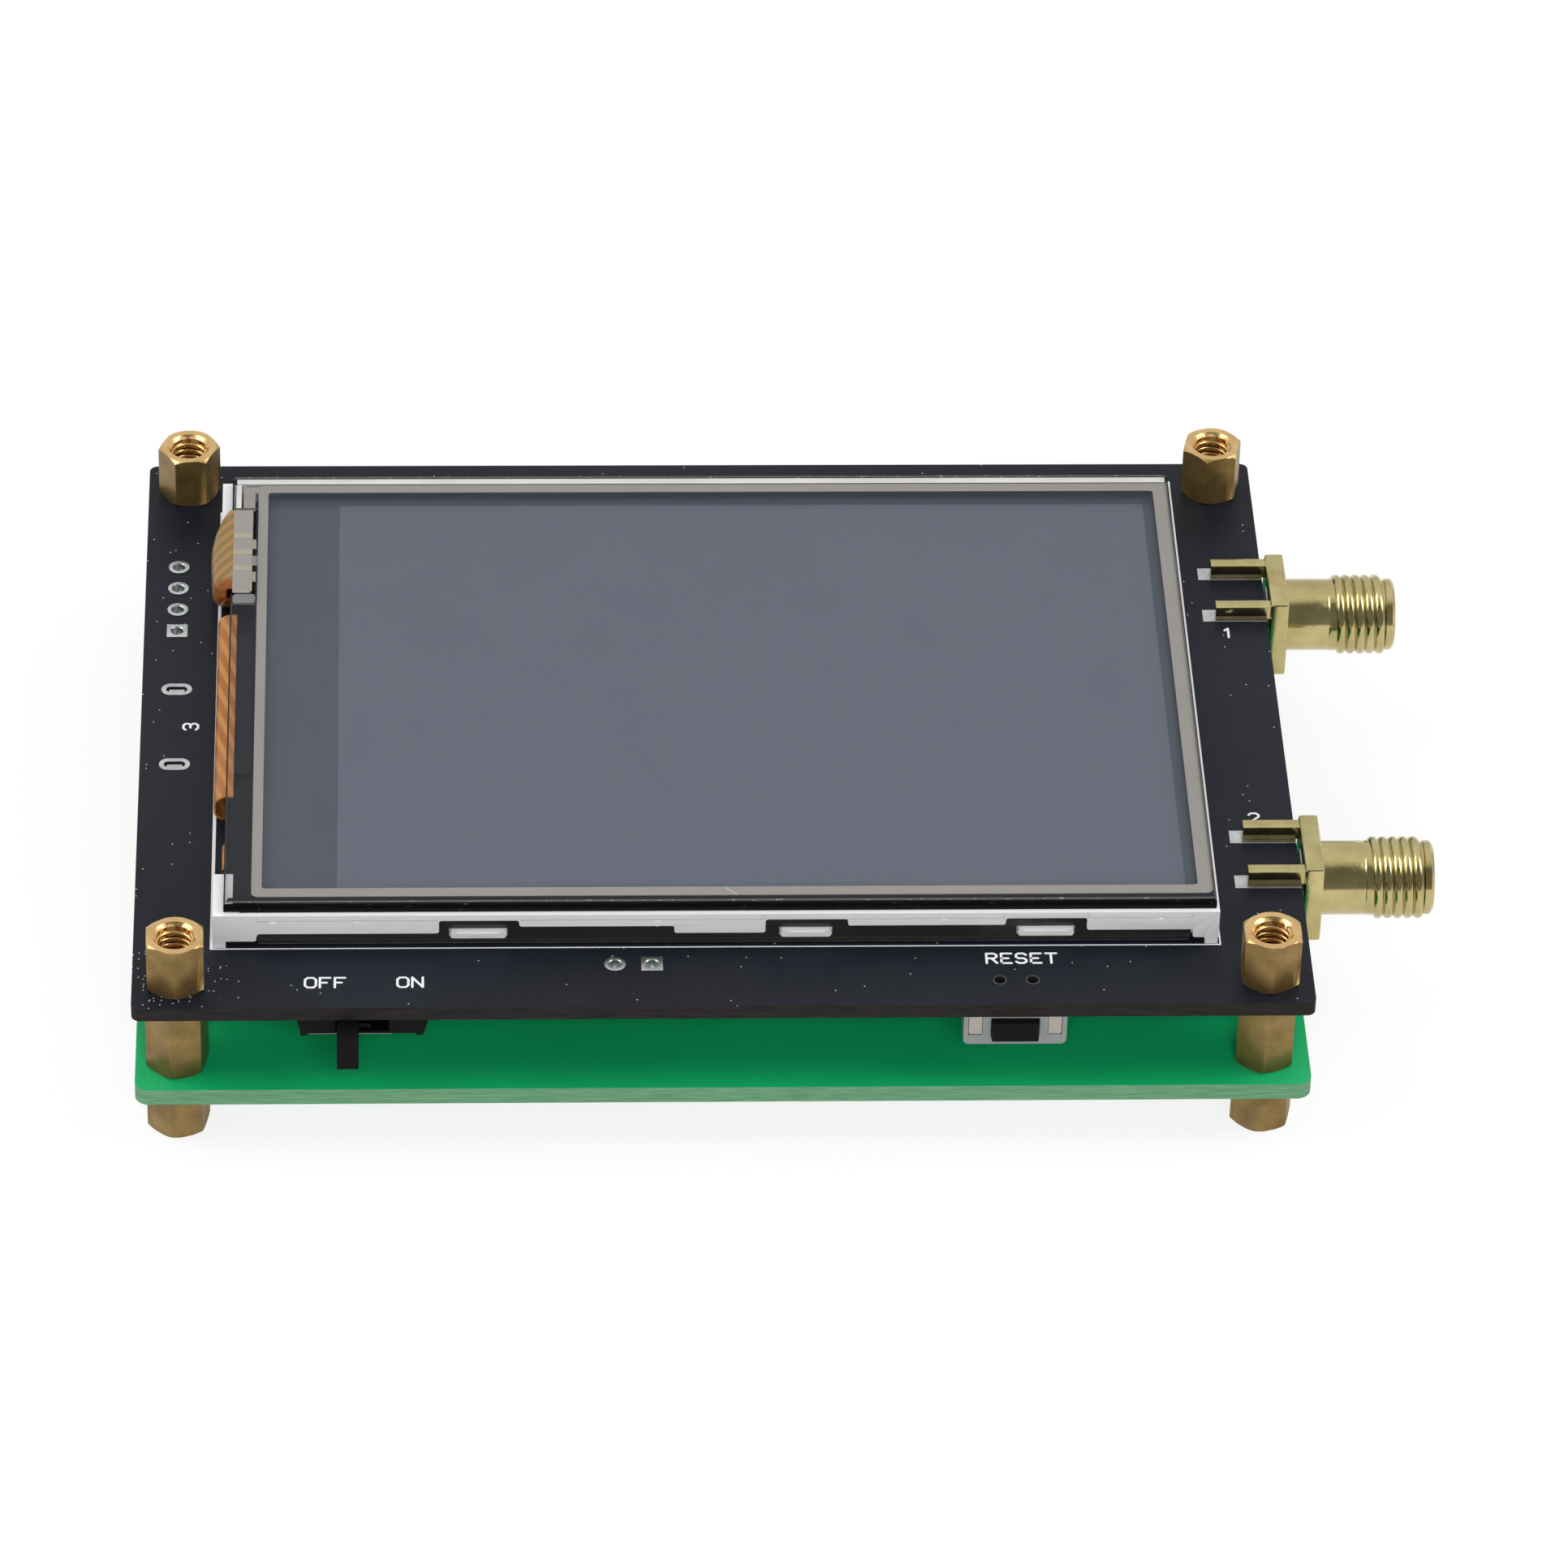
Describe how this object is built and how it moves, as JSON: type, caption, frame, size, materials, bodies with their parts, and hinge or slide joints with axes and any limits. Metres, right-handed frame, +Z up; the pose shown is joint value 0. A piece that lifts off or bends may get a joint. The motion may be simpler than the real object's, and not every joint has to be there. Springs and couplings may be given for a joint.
{
  "type": "signal generator",
  "caption": "Bare two-board signal generator: touch display on a black board, coaxial output jacks at one side, slide and reset switches at the front, brass standoffs.",
  "frame": {"origin": "centre of the four tapped foot holes, on the plane the feet stand on", "axes": "+Z up, -Y to the front edge with the two switches, +X to the edge with the coaxial jacks, -X to the edge with the USB port"},
  "size_m": [0.0904, 0.0659, 0.0164],
  "materials": {
    "board_black": "satin black solder mask",
    "board_green": "satin green solder mask",
    "brass": "satin, slightly tarnished",
    "tin": "tinned, dull",
    "frame_white": "satin white",
    "shell_black": "gloss black",
    "tape": "dull foam",
    "film_white": "satin",
    "guide_clear": "clear",
    "led": "satin",
    "flex_amber": "glossy amber",
    "glass_dark": "polished",
    "polariser": "satin dark grey",
    "touch_clear": "polished",
    "touch_film": "satin grey",
    "jack_gold": "pale gold plate",
    "insulator": "white, waxy",
    "gold": "gold plate",
    "steel_bright": "bright stamped steel",
    "plastic_black": "moulded black",
    "cover_grey": "dark grey",
    "body_grey": "translucent grey",
    "terminal_beige": "dull beige",
    "ceramic_tan": "dull",
    "ceramic_grey": "dull",
    "ferrite": "dull dark grey"
  },
  "bodies": {
    "main": {"main_board": "board_black", "base_board": "board_green", "upper_standoffs": "brass", "middle_standoffs": "brass", "lower_standoffs": "brass", "header_pads": "tin", "usb_pads": "tin", "jack_pads": "tin", "display_frame": "frame_white", "display_shell": "shell_black", "display_tape": "tape", "backlight_reflector": "film_white", "backlight_guide": "guide_clear", "backlight_films": "film_white", "backlight_leds": "led", "backlight_flex": "flex_amber", "display_rear_glass": "glass_dark", "display_front_glass": "glass_dark", "display_polariser": "polariser", "display_driver": "plastic_black", "display_flex": "flex_amber", "touch_tape": "film_white", "touch_glass": "touch_clear", "touch_film": "touch_film", "touch_flex": "flex_amber", "back_jack_body": "jack_gold", "back_jack_insulator": "insulator", "back_jack_pin": "gold", "front_jack_body": "jack_gold", "front_jack_insulator": "insulator", "front_jack_pin": "gold", "usb_shell": "steel_bright", "usb_tongue": "plastic_black", "usb_contacts": "gold", "slide_cover": "cover_grey", "slide_base": "plastic_black", "slide_contacts": "gold", "reset_body": "body_grey", "reset_terminals": "terminal_beige", "reset_dome": "steel_bright", "controller_chip": "plastic_black", "controller_leads": "tin", "synthesiser_chip": "plastic_black", "synthesiser_leads": "tin", "clock_base": "ceramic_grey", "clock_lid": "steel_bright", "crystal_can": "steel_bright", "regulator_bodies": "plastic_black", "regulator_leads": "tin", "power_inductors": "ferrite", "capacitors": "ceramic_tan", "resistors": "ceramic_grey"},
    "slide_switch": {"slide_lever": "plastic_black", "slide_wiper": "gold"},
    "reset_button": {"reset_plunger": "plastic_black"}
  },
  "joints": [
    {"name": "slide_on", "type": "slide", "parent": "main", "child": "slide_switch", "axis": [1, 0, 0], "range_m": [0, 0.002]},
    {"name": "reset_press", "type": "slide", "parent": "main", "child": "reset_button", "axis": [0, 1, 0], "range_m": [0, 0.00025], "stiffness_N_per_m": 4000, "deforming": ["reset_dome"]}
  ]
}
